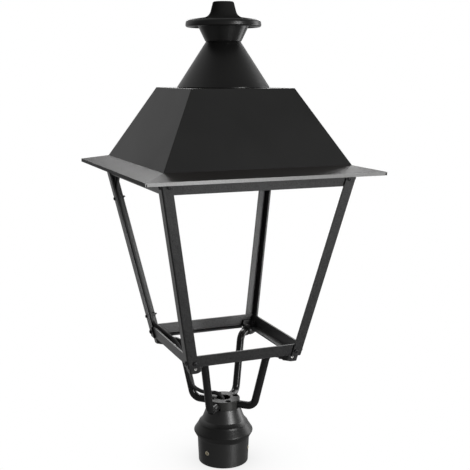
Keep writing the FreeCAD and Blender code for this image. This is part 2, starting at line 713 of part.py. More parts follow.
def corner_foot(place, turn):
    """A lug below the cage's corner and an angle inside it, with a socket for the arm."""
    body = new_body(f"corner_foot_{place}", turn)
    low, shelf, top = s.foot_low_z, s.cage_low_z - s.fit_gap, s.foot_top_z
    slope = (s.lean * ROOT2, 0, 1)
    arm = s.foot_reach / ROOT2
    tip = (half_at(low) - s.rail_inset) * ROOT2
    lug = [(tip, 0, 2.0), (tip - arm, arm, 4.0), (tip - arm * 1.7, arm * 0.5, 3.0),
           (tip - arm * 1.7, -arm * 0.5, 3.0), (tip - arm, -arm, 4.0)]
    pad(body, outline(body, "XY", lug, lift=low), shelf - low, along=slope)
    rounding = s.foot_round
    edge = arm + 0.5
    waste = [(edge - 12.0, low), (edge, low, rounding), (edge, low + 12.0), (edge + 9.0, low + 12.0),
             (edge + 9.0, low - 5.0), (edge - 12.0, low - 5.0)]
    mirror = [(-u, *rest) for u, *rest in waste]
    pocket(body, outline(body, "YZ", waste, mirror), tip * 2, flip=True)
    tip = (half_at(shelf) - s.room_inset) * ROOT2
    thick = s.foot_wall / ROOT2
    angle = [(tip, 0, 1.5), (tip - arm, arm), (tip - arm - thick, arm - thick),
             (tip - thick * 2, 0, 3.0), (tip - arm - thick, thick - arm), (tip - arm, -arm)]
    pad(body, outline(body, "XY", angle, lift=shelf), top - shelf, along=slope)
    barrel = s.tube_radius + s.fit_gap + s.socket_wall
    start = s.socket_inner_r
    pad(body, circles(body, "YZ", (0, s.arm_high_z, barrel), lift=start), s.arm_end_r + 2.0 - start)
    boss = circles(body, "XY", (s.socket_screw_r, 0, s.set_screw_radius + 2.2), lift=s.arm_high_z)
    pad(body, boss, barrel + s.socket_boss)
    bore = circles(body, "YZ", (0, s.arm_high_z, s.tube_radius + s.fit_gap), lift=start - 1.0)
    pocket(body, bore, s.arm_end_r + s.fit_gap - start + 1.0, flip=True)
    for hole in foot_holes(place):
        bore_tool(body, *hole)


def foot_holes(place):
    """Tapped holes of one foot as (radius, length, inner end, direction), in cage coordinates."""
    x, y = CORNERS[place]
    z = s.leg_screw_low_z
    spot = half_at(z) - s.leg_screw_wide
    inward = s.foot_bolt_long + 2.0
    tip = (spot * x, (half_at(z) - inward) * y, z + s.lean * inward)
    yield s.screw_radius + s.fit_gap, inward + 2.0, tip, Vector(0, y, -s.lean.number)
    z = s.arm_high_z
    spot = half_at(z) - s.set_screw_in
    inward = s.rail_inset + s.set_screw_sink + s.set_screw_long + 0.5
    yield (s.set_screw_radius + s.fit_gap, inward + 1.0, (spot * x, (half_at(z) - inward) * y, z),
           Vector(0, y, 0))
    over = s.socket_screw_r / ROOT2
    yield (s.set_screw_radius + s.fit_gap, s.tube_radius * 4, (over * x, over * y, z + s.tube_radius - 1.0),
           Vector(0, 0, 1))


def bore_tool(body, radius, length, start, direction):
    """A round hole along any direction, its inner end held by the sheet, in cage coordinates."""
    hole = body.newObject("PartDesign::SubtractiveCylinder", f"{body.Name}_hole")
    bind(hole, "Radius", radius)
    bind(hole, "Height", length)
    back = body.Placement.Rotation.inverted()
    turn = back.multiply(FreeCAD.Rotation(Vector(0, 0, 1), direction))
    hole.Placement = FreeCAD.Placement(Vector(), turn)
    angle = math.radians(-body.Placement.Rotation.toEuler()[0])
    c, k = math.cos(angle), math.sin(angle)
    x, y, z = (as_size(value) for value in start)
    bind(hole, "Placement.Base.x", x * c - y * k)
    bind(hole, "Placement.Base.y", x * k + y * c)
    bind(hole, "Placement.Base.z", z)


def arm(place, turn):
    body = new_body(f"arm_{place}", turn)
    path = outline(body, "XZ", [
        (s.arm_root_r, s.arm_low_z), (s.arm_low_turn, s.arm_low_z, s.arm_bend),
        (s.arm_high_turn, s.arm_high_z, s.arm_bend), (s.arm_end_r, s.arm_high_z)], closed=False)
    ends = circles(body, "YZ", (0, s.arm_low_z, s.tube_radius),
                   (0, s.arm_low_z, s.tube_radius - s.tube_wall), lift=s.arm_root_r)
    tube = body.newObject("PartDesign::AdditivePipe", f"{body.Name}_tube")
    tube.Profile = ends
    tube.Spine = (path, [])
    tube.Mode = "Frenet"


# Hub: a clamp ring that lies over the four arms, held by screws to the post cup's neck

def arm_hub():
    body = new_body("arm_hub")
    low, top = s.hub_low_z + s.fit_gap, s.hub_top_z
    turned(body, [(s.hub_bore, low), (s.hub_radius, low), (s.hub_radius, top, 0.8),
                  (s.hub_bore, top, 0.8)])
    groove = s.tube_radius + s.fit_gap
    slot = outline(body, "YZ", [(-groove, low - 5.0), (groove, low - 5.0),
                                (groove, s.arm_low_z + groove, groove - 0.02),
                                (-groove, s.arm_low_z + groove, groove - 0.02)])
    cut = pocket(body, slot, s.hub_radius + 5.0, flip=True)
    ring_of_four(body, cut)
    body.Placement = FreeCAD.Placement(Vector(), FreeCAD.Rotation(Vector(0, 0, 1), 45.0))
    reach = s.hub_screw_r / ROOT2
    spots = [(reach * x, reach * y) for x, y in CORNERS.values()]
    sink = circles(body, "XY", *[(x, y, s.hub_sink_radius) for x, y in spots], lift=s.hub_sink_z)
    pocket(body, sink, top - s.hub_sink_z + 2.0, flip=True)
    hole = s.hub_screw_radius + s.screw_play
    shank = circles(body, "XY", *[(x, y, hole) for x, y in spots], lift=low - 5.0)
    pocket(body, shank, top - low, flip=True)


# Post cup: one casting from the socket up to the neck

def post_cup():
    body = new_body("post_cup")
    top = s.hub_low_z
    cavity = s.neck_low_radius - s.neck_wall
    turned(body, [
        (s.socket_radius, 0), (s.cup_low_radius, 0, 0.8), (s.cup_high_radius, s.cup_high_z, 1.5),
        (s.bead_radius, s.bead_z, 3.5), (s.cove_radius, s.cove_z), (s.step_radius, s.step_z, 0.9),
        (s.neck_low_radius, s.neck_low_z, 2.5), (s.neck_high_radius, top, 0.6),
        (s.hub_bore, top), (s.hub_bore, top - 12.0), (cavity - 5.0, top - 20.0),
        (cavity, s.socket_depth + 4.0), (cavity, s.socket_depth), (s.socket_radius, s.socket_depth)])
    for x, y in GRUB_DIRECTIONS:
        for radius, start in ((s.grub_radius + s.fit_gap, s.socket_radius - 5.0),
                              (s.grub_spot_radius, s.cup_low_radius)):
            bore_tool(body, radius, 30.0, (start * x, start * y, s.grub_z), Vector(x, y, 0))
    reach, hole = s.hub_screw_r, s.hub_screw_radius + s.fit_gap
    deep = s.hub_screw_long - s.hub_sink_rise + 3.5
    spots = [(reach, 0, hole), (-reach, 0, hole), (0, reach, hole), (0, -reach, hole)]
    pocket(body, circles(body, "XY", *spots, lift=top - deep), deep + 5.0, flip=True)


GRUB_DIRECTIONS = [(math.cos(math.radians(turn)), math.sin(math.radians(turn)))
                   for turn in (-151.7, -31.7, 88.3)]


# Screws: solids of revolution along their own axis, placed from the sheet

def turned_solid(section, start, direction):
    """A solid from its half section as (radius, distance), with the distances along a direction."""
    points = [Vector(radius, 0, along) for radius, along in section]
    solid = Part.Face(Part.makePolygon(points + points[:1])).revolve(Vector(), Vector(0, 0, 1), 360)
    solid.Placement = FreeCAD.Placement(start, FreeCAD.Rotation(Vector(0, 0, 1), direction))
    return solid


def pan_screw(start, outward, shank, tail, head, tall, seat=0.1):
    """A domed screw whose seat is at start; the head points along outward."""
    section = [(0, -tail), (shank * 0.7, -tail), (shank, -tail + 0.6), (shank, seat), (head, seat),
               (head, seat + tall * 0.45), (head * 0.72, seat + tall * 0.9), (head * 0.45, seat + tall),
               (head * 0.34, seat + tall), (head * 0.34, seat + tall * 0.35), (0, seat + tall * 0.35)]
    return turned_solid(section, start, outward)


def cage_face_point(signs, axis, from_corner, z):
    """A point on an outer face of the cage and that face's outward direction."""
    half = half_at(as_size(z)).number
    x, y = signs
    along = half - as_size(from_corner).number
    z = as_size(z).number
    if axis == "y":
        return Vector(along * x, half * y, z), Vector(0, y, -s.lean.number).normalize()
    return Vector(half * x, along * y, z), Vector(x, 0, -s.lean.number).normalize()


def cage_screws():
    radius, head, tall = (s.screw_radius.number, s.screw_head_radius.number, s.screw_head_tall.number)
    through = (s.leg_wall + s.rail_wall - s.fit_gap).number
    short, long = [], []
    for signs in CORNERS.values():
        for z in (s.leg_screw_low_z, s.leg_screw_high_z):
            for axis, inset in (("y", s.leg_screw_wide), ("x", s.leg_screw_narrow)):
                to_foot = axis == "y" and z is s.leg_screw_low_z
                tail = s.foot_bolt_long.number if to_foot else through
                spot = cage_face_point(signs, axis, inset, z)
                (long if to_foot else short).append(pan_screw(*spot, radius, tail, head, tall))
    loose_group("leg_screws", short)
    loose_group("foot_bolts", long)


def socket_screw(start, outward, radius, length, recess):
    """A headless screw with a round drive recess, its outer end at start."""
    section = [(0, -length), (radius * 0.6, -length), (radius, -length + radius * 0.4), (radius, -0.3),
               (radius - 0.3, 0), (recess, 0), (recess, -radius * 0.8), (0, -radius * 0.8)]
    return turned_solid(section, start, outward)


def set_screws():
    radius, z = s.set_screw_radius.number, s.arm_high_z.number
    half = half_at(s.arm_high_z).number
    along, out = half - s.set_screw_in.number, half - (s.rail_inset + s.set_screw_sink).number
    loose_group("foot_set_screws", [
        socket_screw(Vector(along * x, out * y, z), Vector(0, y, 0), radius, s.set_screw_long.number,
                     radius * 0.52)
        for x, y in CORNERS.values()])
    over = s.socket_screw_r.number / ROOT2
    bearing = z + s.tube_radius.number + s.fit_gap.number
    long = s.socket_wall.number + s.socket_boss.number + 1.2
    loose_group("arm_set_screws", [
        socket_screw(Vector(over * x, over * y, bearing + long), Vector(0, 0, 1), radius, long,
                     radius * 0.52)
        for x, y in CORNERS.values()])
    end = (s.cup_low_radius + s.grub_out).number
    long = end - s.socket_radius.number - 0.3
    loose_group("grub_screws", [
        socket_screw(Vector(end * x, end * y, s.grub_z.number), Vector(x, y, 0), s.grub_radius.number,
                     long, 2.1) for x, y in GRUB_DIRECTIONS])


def hub_screws():
    reach, seat = s.hub_screw_r.number, s.hub_sink_z.number
    shank, long = s.hub_screw_radius.number, s.hub_screw_long.number
    head, tall = shank * 1.7, shank * 2
    section = [(0, -long), (shank - 0.6, -long), (shank, -long + 0.7), (shank, 0.1), (head, 0.1),
               (head, tall - 0.3), (head - 0.4, tall + 0.1), (shank * 0.9, tall + 0.1),
               (shank * 0.9, tall / 2), (0, tall / 2)]
    loose_group("hub_screws", [turned_solid(section, Vector(reach * x, reach * y, seat), Vector(0, 0, 1))
                               for x, y in ((1, 0), (-1, 0), (0, 1), (0, -1))])


def screws_along_z(label, places, seat_z, tail, kind, up):
    """Upright screws; up is 1 or -1, the way their heads point."""
    radius, head, tall = (value.number for value in kind)
    loose_group(label, [
        pan_screw(Vector(as_size(x).number, as_size(y).number, seat_z.number), Vector(0, 0, up), radius,
                  tail.number, head, tall) for x, y in places])


# LED engine on its tray, closing the hood from below

frame_screw_places = [(s.frame_screw_half * x, s.frame_screw_half * y)
                      for x, y in ((-1, -1), (1, -1), (1, 1), (-1, 1), (0, -1), (0, 1), (-1, 0), (1, 0))]


FIN_COUNT = 11


def gear_tray():
    body = new_body("gear_tray")
    plate = outline(body, "XY", [(x, y, 4.0) for x, y in centred_square(s.tray_half)],
                    centred_square(s.tray_window), lift=s.tray_low)
    pad(body, plate, s.tray_thick)
    rings = [(x, y, s.screw_hole_radius) for x, y in hood_screw_places()]
    rings += [(x, y, s.small_hole_radius) for x, y in frame_screw_places]
    rings += [(x, y, s.small_hole_radius) for item in GEAR.values() for x, y in ear_screws(*item)]
    rings.append((-s.gland_centre, s.gland_centre, s.gland_thread_radius + s.screw_play))
    pocket(body, circles(body, "XY", *rings, lift=s.tray_low - 1.0), s.tray_thick + 2.0, flip=True)


def heat_sink():
    body = new_body("heat_sink")
    half, low = s.frame_half, s.gear_z
    pad(body, square(body, half, low), s.sink_base)
    pitch = (half * 2 - s.fin_thick) / (FIN_COUNT - 1)
    fins = []
    for i in range(FIN_COUNT):
        left = pitch * i - half
        right = left + s.fin_thick
        fins.append([(left, -half), (right, -half), (right, half), (left, half)])
    deep = s.sink_base / 2
    pad(body, outline(body, "XY", *fins, lift=low + deep), s.fin_tall + deep)
    rings = [(x, y, s.small_hole_radius) for x, y in frame_screw_places]
    pocket(body, circles(body, "XY", *rings, lift=low - 1.0), s.sink_base, flip=True)


def led_board():
    body = new_body("led_board")
    low = s.tray_top - s.board_thick
    pad(body, square(body, s.board_half, low), s.board_thick)
    chips = [[(x + u, y + v) for u, v in centred_square(s.chip_half)] for x, y in lens_spots()]
    pad(body, outline(body, "XY", *chips, lift=low - s.chip_tall), s.chip_tall + s.board_thick / 4)


def lens_spots():
    steps = [s.lens_pitch * k for k in (-1.5, -0.5, 0.5, 1.5)]
    return [(x, y) for x in steps for y in steps]


def lens_plate():
    body = new_body("lens_plate")
    pad(body, square(body, s.lens_half, s.lens_low, 3.0), s.lens_thick)
    domes = circles(body, "XY", *[(x, y, s.dome_radius) for x, y in lens_spots()], lift=s.lens_low + 0.5)
    bulge = pad(body, domes, s.dome_tall, flip=True)
    bulge.TaperAngle = -35.0


def lens_gasket():
    body = new_body("lens_gasket")
    ring = outline(body, "XY", [(x, y, 3.0) for x, y in centred_square(s.lens_half)],
                   centred_square(s.gasket_half), lift=s.lens_top + s.fit_gap)
    pad(body, ring, s.gasket_thick)


def lens_frame():
    body = new_body("lens_frame")
    top = s.tray_low - s.fit_gap
    ring = outline(body, "XY", [(x, y, 5.0) for x, y in centred_square(s.frame_half)],
                   centred_square(s.frame_window), lift=s.frame_low)
    pad(body, ring, top - s.frame_low)
    rebate = s.lens_half + s.fit_gap
    pocket(body, square(body, rebate, s.frame_low + s.frame_lip), 10.0, flip=True)
    rings = [(x, y, s.small_hole_radius) for x, y in frame_screw_places]
    pocket(body, circles(body, "XY", *rings, lift=s.frame_low - 1.0), top - s.frame_low + 2.0, flip=True)


# Gear on the tray: middle, size across X, size across Y, height, and whether its ears lie along X
GEAR = {
    "driver_box": (as_size(0), s.driver_y, s.driver_long, s.driver_wide, s.driver_tall, True),
    "surge_protector": (s.side_gear_x, as_size(0), s.surge_wide, s.surge_long, s.surge_tall, False),
    "terminal_block": (-s.side_gear_x, as_size(0), s.terminal_wide, s.terminal_long, s.terminal_tall, False),
}


def ear_screws(x, y, wide, deep, tall, along_x):
    """The screw in each of a housing's two ears."""
    reach = (wide if along_x else deep) / 2 + s.ear_long / 2
    return [(x + reach * k, y) if along_x else (x, y + reach * k) for k in (-1, 1)]


def boxed(label):
    """A housing on the tray with a thin mounting ear at both ends."""
    body = new_body(label)
    x, y, wide, deep, tall, along_x = GEAR[label]
    signs = ((-1, -1), (1, -1), (1, 1), (-1, 1))
    case = [(x + wide / 2 * u, y + deep / 2 * v, 2.0) for u, v in signs]
    pad(body, outline(body, "XY", case, lift=s.gear_z), tall)
    across, along = (wide / 2 + s.ear_long, s.ear_half) if along_x else (s.ear_half, deep / 2 + s.ear_long)
    foot = [(x + across * u, y + along * v) for u, v in signs]
    pad(body, outline(body, "XY", foot, lift=s.gear_z), s.ear_thick)
    holes = [(u, v, s.small_hole_radius) for u, v in ear_screws(*GEAR[label])]
    pocket(body, circles(body, "XY", *holes, lift=s.gear_z - 1.0), s.ear_thick + 2.0, flip=True)


def gear():
    for label in GEAR:
        boxed(label)
    ears = [spot for item in GEAR.values() for spot in ear_screws(*item)]
    small = (s.small_screw_radius, s.small_head_radius, s.small_head_tall)
    large = (s.screw_radius, s.screw_head_radius, s.screw_head_tall)
    screws_along_z("gear_screws", ears, s.gear_z + s.ear_thick, s.ear_thick + s.tray_thick * 2, small, 1)
    screws_along_z("lens_frame_screws", frame_screw_places, s.frame_low,
                   s.gear_z + s.sink_base * 0.78 - s.frame_low, small, -1)
    screws_along_z("hood_screws", hood_screw_places(), s.tray_low,
                   s.high_rail_top + s.hood_flange_thick * 3 - s.tray_low, large, -1)


# Supply cable: gland, run down the back left leg, drop over its arm, hub bore, connector

def cable_gland():
    body = new_body("cable_gland")
    low, seat = s.tray_low - s.gland_tall, s.tray_low - s.fit_gap
    bore, wide, flange = s.cable_radius + s.cable_play, s.gland_radius, s.gland_radius + 1.6
    thread, top = s.gland_thread_radius, s.gear_z + s.gland_nut_tall + 3.2
    turned(body, [
        (bore, low), (bore + 2.5, low, 1.0), (wide, low + 5.0, 2.0), (wide, seat - 3.6),
        (flange, seat - 3.0), (flange, seat), (thread, seat), (thread, top), (bore, top)])
    bind(body, "Placement.Base.x", -s.gland_centre)
    bind(body, "Placement.Base.y", s.gland_centre)
    nut = new_body("gland_nut")
    turns = [math.radians(60 * i) for i in range(6)]
    corners = [(s.gland_nut_radius * math.cos(turn), s.gland_nut_radius * math.sin(turn)) for turn in turns]
    flat = outline(nut, "XY", corners, lift=s.gear_z)
    add_circle(flat, 0, 0, thread + s.fit_gap)
    pad(nut, flat, s.gland_nut_tall)
    bind(nut, "Placement.Base.x", -s.gland_centre)
    bind(nut, "Placement.Base.y", s.gland_centre)


def cable_route():
    """Corners of the route as (point, bend radius), in cage coordinates."""
    gland, tray = s.gland_centre.number, s.tray_low.number
    low, high = s.cage_low_z.number, s.cage_high_z.number
    arm, hub, end = s.arm_high_z.number, s.hub_top_z.number, s.connector_top.number

    def beside_leg(z):
        half = half_at(z).number
        return Vector(-(half - s.cable_from_side.number), half - s.cable_from_back.number, z)

    def beside_arm(outward, toward_front, z):
        return Vector(-outward - toward_front, outward - toward_front, z * ROOT2) / ROOT2

    return [(Vector(-gland, gland, tray + 17.4), None), (Vector(-gland, gland, tray - 22.6), 120.0),
            (beside_leg(high - 54.8), 55.0), (beside_leg(low + 25.5), 14.0),
            (beside_arm(119.0, 7.2, arm + 19.5), 150.0), (beside_arm(90.0, 11.0, arm + 3.5), 45.0),
            (beside_arm(75.0, 10.5, arm - 17.0), 60.0), (beside_arm(63.0, 9.6, hub + 33.4), 200.0),
            (beside_arm(57.0, 8.2, hub + 14.4), 22.0), (beside_arm(40.0, 3.5, hub + 4.9), 28.0),
            (Vector(0, 0, hub + 7.4), 16.0), (Vector(0, 0, end), None)]


def rounded_path(route):
    """Straight runs joined by tangent arcs, and the path's length."""
    edges, start = [], route[0][0]
    for i in range(1, len(route) - 1):
        (before, _), (corner, radius), (after, _) = route[i - 1:i + 2]
        back, ahead = (before - corner).normalize(), (after - corner).normalize()
        opening = back.getAngle(ahead) / 2
        reach = radius / math.tan(opening)
        centre = corner + (back + ahead).normalize() * (radius / math.sin(opening))
        middle = centre + (corner - centre).normalize() * radius
        arrive, leave = corner + back * reach, corner + ahead * reach
        if (arrive - corner).Length > (start - corner).Length:
            raise RuntimeError(f"cable bend {i} has no room")
        edges += [Part.LineSegment(start, arrive).toShape(), Part.Arc(arrive, middle, leave).toShape()]
        start = leave
    edges.append(Part.LineSegment(start, route[-1][0]).toShape())
    wire = Part.Wire(edges)
    return wire, wire.Length


def power_cable():
    radius = s.cable_radius.number
    wire, length = rounded_path(cable_route())
    first, last = cable_route()[0][0], cable_route()[1][0]
    ring = Part.Wire(Part.Circle(first, last - first, radius).toShape())
    tube = wire.makePipeShell([ring], True, True)
    ratio = tube.Volume / (math.pi * radius ** 2 * length)
    bends = ", ".join(f"{bend:.0f}" for _, bend in cable_route() if bend is not None)
    print(f"cable radius {radius:.2f}, length {length:.1f}, volume ratio {ratio:.4f}, bend radii {bends}")
    if abs(ratio - 1) > 0.01:
        raise RuntimeError("the cable's sweep is twisted")
    loose_group("power_cable", [tube])


def cable_connector():
    body = new_body("cable_connector")
    wide, low, top = s.connector_radius, s.connector_low, s.connector_top - s.fit_gap
    neck, grip = wide - 1.6, s.cable_radius + s.fit_gap
    turned(body, [(0, low), (wide - 1.5, low), (wide - 0.5, low + 1.0), (wide - 0.5, top - 16.9),
                  (neck, top - 16.1), (neck, top - 13.9), (wide, top - 13.1), (wide, top - 6.4),
                  (wide - 2.0, top - 1.4), (grip, top - 1.4), (grip, top), (0, top)])


def clips():
    """Saddle straps that hook over the cable, each held by a screw through the leg and a nut."""
    straps, screws, nuts = [], [], []
    down = Vector(-s.lean.number, s.lean.number, 1).normalize()
    inward = Vector(1, 0, s.lean.number).normalize()
    across = down.cross(inward).normalize()
    if across.y > 0:
        across = -across
    inside = (s.cable_radius + s.fit_gap * 1.5).number
    outside = inside + s.clip_wall.number
    bore = s.small_screw_radius.number
    tall = s.clip_tall.number
    for z in (s.clip_low_z, s.clip_high_z):
        seat, outward = cage_face_point((-1, 1), "x", s.clip_screw_from_back, z)
        half = half_at(z).number
        near = Vector(-(half - s.cable_from_side.number), half - s.cable_from_back.number, z.number)
        centre = near + down * (seat - near).dot(down)
        frame = FreeCAD.Matrix(across.x, inward.x, down.x, centre.x, across.y, inward.y, down.y, centre.y,
                               across.z, inward.z, down.z, centre.z, 0, 0, 0, 1)
        hole_at = (seat - centre).dot(across)
        ring = Part.makeCylinder(outside, tall, Vector(0, 0, -tall / 2), Vector(0, 0, 1))
        tab = Part.makeBox(-hole_at + 3.0, s.clip_wall.number, tall, Vector(hole_at - 3.0, inside, -tall / 2))
        far = Part.makeBox(20, 20, tall, Vector(-20, -20 + 0.01, -tall / 2))
        low = Part.makeBox(20, 20, tall, Vector(-6.0, -20 - 0.72 * outside, -tall / 2))
        left = Part.makeBox(20, 20, tall, Vector(-20, 0, -tall / 2))
        strap = ring.cut(far).cut(low).cut(left).fuse(tab)
        strap = strap.cut(Part.makeCylinder(inside, tall, Vector(0, 0, -tall / 2), Vector(0, 0, 1)))
        strap = strap.cut(Part.makeCylinder(bore + 0.2, 40, Vector(hole_at, -20, 0), Vector(0, 1, 0)))
        strap = strap.removeSplitter()
        strap.transformShape(frame)
        straps.append(strap)
        reach = (centre - seat).dot(inward) + outside
        nut_low = reach + 0.1
        tail = nut_low + (s.clip_nut_tall + s.clip_screw_tail).number
        screws.append(pan_screw(seat, outward, bore, tail, 3.0, 2.0))
        nut = hexagon(s.clip_nut_radius.number, s.clip_nut_tall.number)
        nut = nut.cut(Part.makeCylinder(bore + 0.05, 10, Vector(0, 0, -2)))
        turn = FreeCAD.Matrix(down.x, across.x, inward.x, 0, down.y, across.y, inward.y, 0,
                              down.z, across.z, inward.z, 0, 0, 0, 0, 1)
        nut.transformShape(turn)
        nut.translate(seat + inward * nut_low)
        nuts.append(nut)
    loose_group("cable_clips", straps)
    loose_group("clip_screws", screws)
    loose_group("clip_nuts", nuts)


BUILDERS = [finial_cap, vent_funnel, chimney_cone, tie_rod, rod_nuts, roof_hood, arm_hub, post_cup,
            cage_screws, set_screws, hub_screws, gear_tray, heat_sink, led_board, lens_plate, lens_gasket,
            lens_frame, gear, cable_gland, power_cable, cable_connector, clips]


def build():
    for builder in BUILDERS:
        builder()
    for place, signs in CORNERS.items():
        leg(place, signs)
    for side, turn in SIDES.items():
        lower_rail(side, turn)
        upper_rail(side, turn)
    for place, turn in DIAGONALS.items():
        corner_foot(place, turn)
        arm(place, turn)


def check_and_write():
    """Every object has to have computed before any piece is written."""
    doc.recompute()
    for item in doc.Objects:
        failed = {"Invalid", "Error"} & set(item.State)
        if failed:
            raise RuntimeError(f"{item.Label}: {sorted(failed)}")
    os.makedirs("parts", exist_ok=True)
    for part in parts:
        shape = part.Shape
        if shape.isNull() or not shape.isValid() or not shape.Solids:
            raise RuntimeError(f"{part.Label}: no valid solid")
        shape.exportStep(f"parts/{part.Label}.step")
        box = shape.BoundBox
        print(f"{part.Label}: {len(shape.Solids)} solids, {shape.Volume:.1f} mm3,"
              f" z {box.ZMin:.1f} to {box.ZMax:.1f}")


build()
check_and_write()
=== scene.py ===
"""Looks for the post-top lantern: materials, studio light, floor and the photograph's camera."""
import json
import math
import bpy
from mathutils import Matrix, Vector

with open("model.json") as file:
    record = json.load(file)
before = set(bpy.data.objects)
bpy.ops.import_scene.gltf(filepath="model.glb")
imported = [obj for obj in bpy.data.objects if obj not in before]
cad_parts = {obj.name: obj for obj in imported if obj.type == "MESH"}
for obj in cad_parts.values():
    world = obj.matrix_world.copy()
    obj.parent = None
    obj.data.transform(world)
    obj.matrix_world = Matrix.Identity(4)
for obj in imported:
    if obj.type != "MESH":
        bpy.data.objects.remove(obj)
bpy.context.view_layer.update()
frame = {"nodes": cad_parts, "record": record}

# Camera, fitted to the photograph: metres, degrees, and millimetres for the lens and the sensor
CAMERA_DISTANCE = 1.5184        # from the lantern's axis, level
CAMERA_HEIGHT = 0.6903
CAMERA_AZIMUTH = -111.86        # from +X
CAMERA_PITCH = 10.39            # below level
CAMERA_LENS = 68.2
CAMERA_SENSOR = 36.0
CAMERA_SHIFT = 0.0248           # part of the sensor's width

# Light of the room, as radiance
BACKDROP_LIGHT = 0.52
ROOM_LIGHT = 0.15

# Where the backdrop stands
BACKDROP_TURN = 14.0            # degrees towards the lantern's left
BACKDROP_RISE = 0.6             # how far the backdrop reaches overhead
BACKDROP_EDGE = (0.2, 0.85)     # from the dark room to the full backdrop

# Each lamp's place, the spot it faces and its width and height, in metres, and its power in watts
LAMPS = {
    "low_strip": ((0.95, -2.24, -0.45), (0, 0, -0.45), (0.6, 1.3), 9.5),
    "high_strip": ((0.95, -2.24, 0.85), (0, 0, 0.85), (0.6, 1.3), 26),
    "right_softbox": ((2.4, 0.3, 0.6), (0, 0, 0.42), (1.0, 2.4), 20),
    "back_softbox": ((0.7, 1.6, 1.55), (0, 0, 0.6), (1.2, 0.8), 18),
}

# Floor, in metres
FLOOR_REACH = 3.0               # from the centre to each side
FLOOR_DROP = 0.0005             # below the cup's mouth
SHADOW_REACH = 0.12             # of the contact shadow
SHADOW_WHITE = 0.7              # white that is left where the shadow is deepest

# Heights in metres that the paints tell apart
LIP_TOP = 0.534                 # of the cornice's turned-down lip
CUP_TOP = 0.13                  # of the cast cup
BEAD_LOW = 0.048                # the cup's bead and the cove over it
BEAD_HIGH = 0.074
BRIM_TOP = 0.7745               # of the finial's brim

# Parts of a face's unit normal by which the hood's paint tells its faces apart
UPWARD = 0.97                   # of Z, where dust lies
FRONTWARD = -0.95               # of Y
LEFTWARD = -0.99                # of X

# Colours that differ from their coat
KNOB_COAT = (0.026, 0.026, 0.0255)      # matt, over the brim
DUST = (0.019, 0.016, 0.0136)           # on the cornice
PAINTED_LIP_HIGHLIGHT = (0.55, 0.55, 0.545)         # painted highlight along the front of the lip

# Values between which a noise mostly lies
NOISE_RANGE = (0.3, 0.7)


# Node helpers

class Nodes:
    """Short calls for the nodes of one tree."""

    def __init__(self, tree):
        self.tree = tree

    def add(self, kind, **settings):
        node = self.tree.nodes.new(kind)
        for name, value in settings.items():
            setattr(node, name, value)
        return node

    def set(self, node, **sockets):
        for name, value in sockets.items():
            node.inputs[name].default_value = value

    def link(self, output, socket):
        self.tree.links.new(output, socket)

    def ramp(self, value, low, high, start, end, **settings):
        """Maps the range from start to end to the range from low to high, and holds it there."""
        node = self.add("ShaderNodeMapRange", **settings)
        self.set(node, **{"From Min": start, "From Max": end, "To Min": low, "To Max": high})
        self.link(value, node.inputs["Value"])
        return node.outputs["Result"]

    def above(self, value, level, fade):
        """A mask of 1 from a level up, which fades to 0 below it."""
        return self.ramp(value, 0.0, 1.0, level - fade, level)

    def below(self, value, level, fade):
        """A mask of 1 up to a level, which fades to 0 above it."""
        return self.ramp(value, 1.0, 0.0, level, level + fade)

    def weigh(self, mask, outside, inside):
        """One number outside a mask and another inside it."""
        return self.ramp(mask, outside, inside, 0.0, 1.0)

    def vary(self, noise, low, high):
        """Spreads a noise over a range of numbers."""
        return self.ramp(noise, low, high, *NOISE_RANGE)

    def calculate(self, operation, first, second):
        node = self.add("ShaderNodeMath", operation=operation)
        self.link(first, node.inputs[0])
        self.link(second, node.inputs[1])
        return node.outputs["Value"]

    def times(self, first, second):
        return self.calculate("MULTIPLY", first, second)


class Shader(Nodes):
    """A Principled material with the textures that feed it."""

    def __init__(self, name, color, roughness, metallic=0.0, **sockets):
        self.material = bpy.data.materials.new(name)
        self.material.use_nodes = True
        super().__init__(self.material.node_tree)
        self.surface = self.tree.nodes["Principled BSDF"]
        self.set(self.surface, **{"Base Color": (*color, 1.0)}, Roughness=roughness, Metallic=metallic)
        self.set(self.surface, **sockets)
        self.place = self.add("ShaderNodeTexCoord").outputs["Object"]

    def feed(self, name, output):
        """Links an output to a socket of the surface."""
        self.link(output, self.surface.inputs[name])

    def axes(self, vector):
        """Splits a vector into its X, Y and Z."""
        node = self.add("ShaderNodeSeparateXYZ")
        self.link(vector, node.inputs["Vector"])
        return node.outputs

    def noise(self, scale, detail=2.0, roughness=0.55, stretch=None):
        """A cloudy texture from 0 to 1, finer with a larger scale."""
        node = self.add("ShaderNodeTexNoise")
        self.set(node, Scale=scale, Detail=detail, Roughness=roughness)
        source = self.place
        if stretch is not None:
            mapping = self.add("ShaderNodeMapping")
            self.set(mapping, Scale=stretch)
            self.link(source, mapping.inputs["Vector"])
            source = mapping.outputs["Vector"]
        self.link(source, node.inputs["Vector"])
        return node.outputs["Fac"]

    def blend(self, factor, first, second):
        """Mixes two colours by a factor."""
        node = self.add("ShaderNodeMix", data_type="RGBA")
        self.set(node, A=(*first, 1.0), B=(*second, 1.0))
        self.link(factor, node.inputs["Factor"])
        return node.outputs["Result"]

    def cover(self, mask, under, over):
        """Lays a colour over a colour output where a mask says so."""
        node = self.add("ShaderNodeMix", data_type="RGBA")
        self.set(node, B=(*over, 1.0))
        self.link(mask, node.inputs["Factor"])
        self.link(under, node.inputs["A"])
        return node.outputs["Result"]

    def color(self, factor, first, second):
        self.feed("Base Color", self.blend(factor, first, second))

    def rough(self, noise, low, high):
        self.feed("Roughness", self.vary(noise, low, high))

    def bump(self, height, strength, distance=0.0003):
        """Raises the surface by a height, up to a distance in metres."""
        node = self.add("ShaderNodeBump")
        self.set(node, Strength=strength, Distance=distance)
        self.link(height, node.inputs["Height"])
        self.feed("Normal", node.outputs["Normal"])


# Materials

